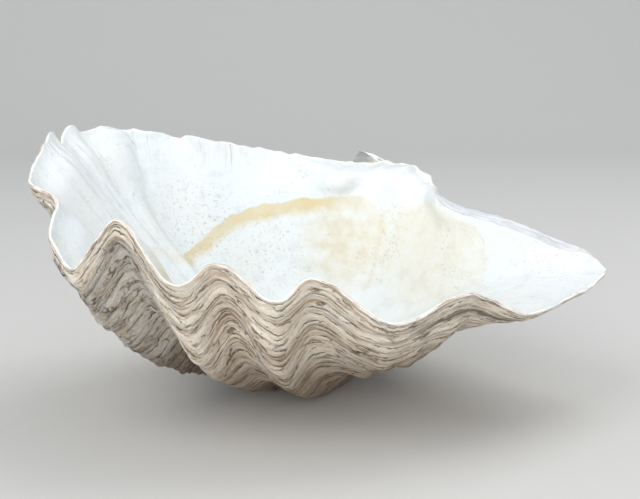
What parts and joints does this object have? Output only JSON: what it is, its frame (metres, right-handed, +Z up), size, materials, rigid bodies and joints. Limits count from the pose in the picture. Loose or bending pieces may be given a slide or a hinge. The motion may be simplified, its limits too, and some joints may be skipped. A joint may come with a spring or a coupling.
{
  "type": "giant clam shell",
  "caption": "One valve of a giant clam shell, deep and scalloped, lying hollow side up like a bowl on its worn ribs.",
  "frame": {"origin": "centre of the bounding box, on the surface that the shell rests on", "axes": "+X along the length toward the pointed end, +Y from the scalloped front edge to the hinge, +Z up"},
  "size_m": [0.395, 0.3536, 0.1933],
  "materials": {
    "shell": "weathered shell, chalky and ledged outside, pale and smooth with a dull sheen inside"
  },
  "bodies": {
    "root": {"valve": "shell"}
  },
  "joints": []
}
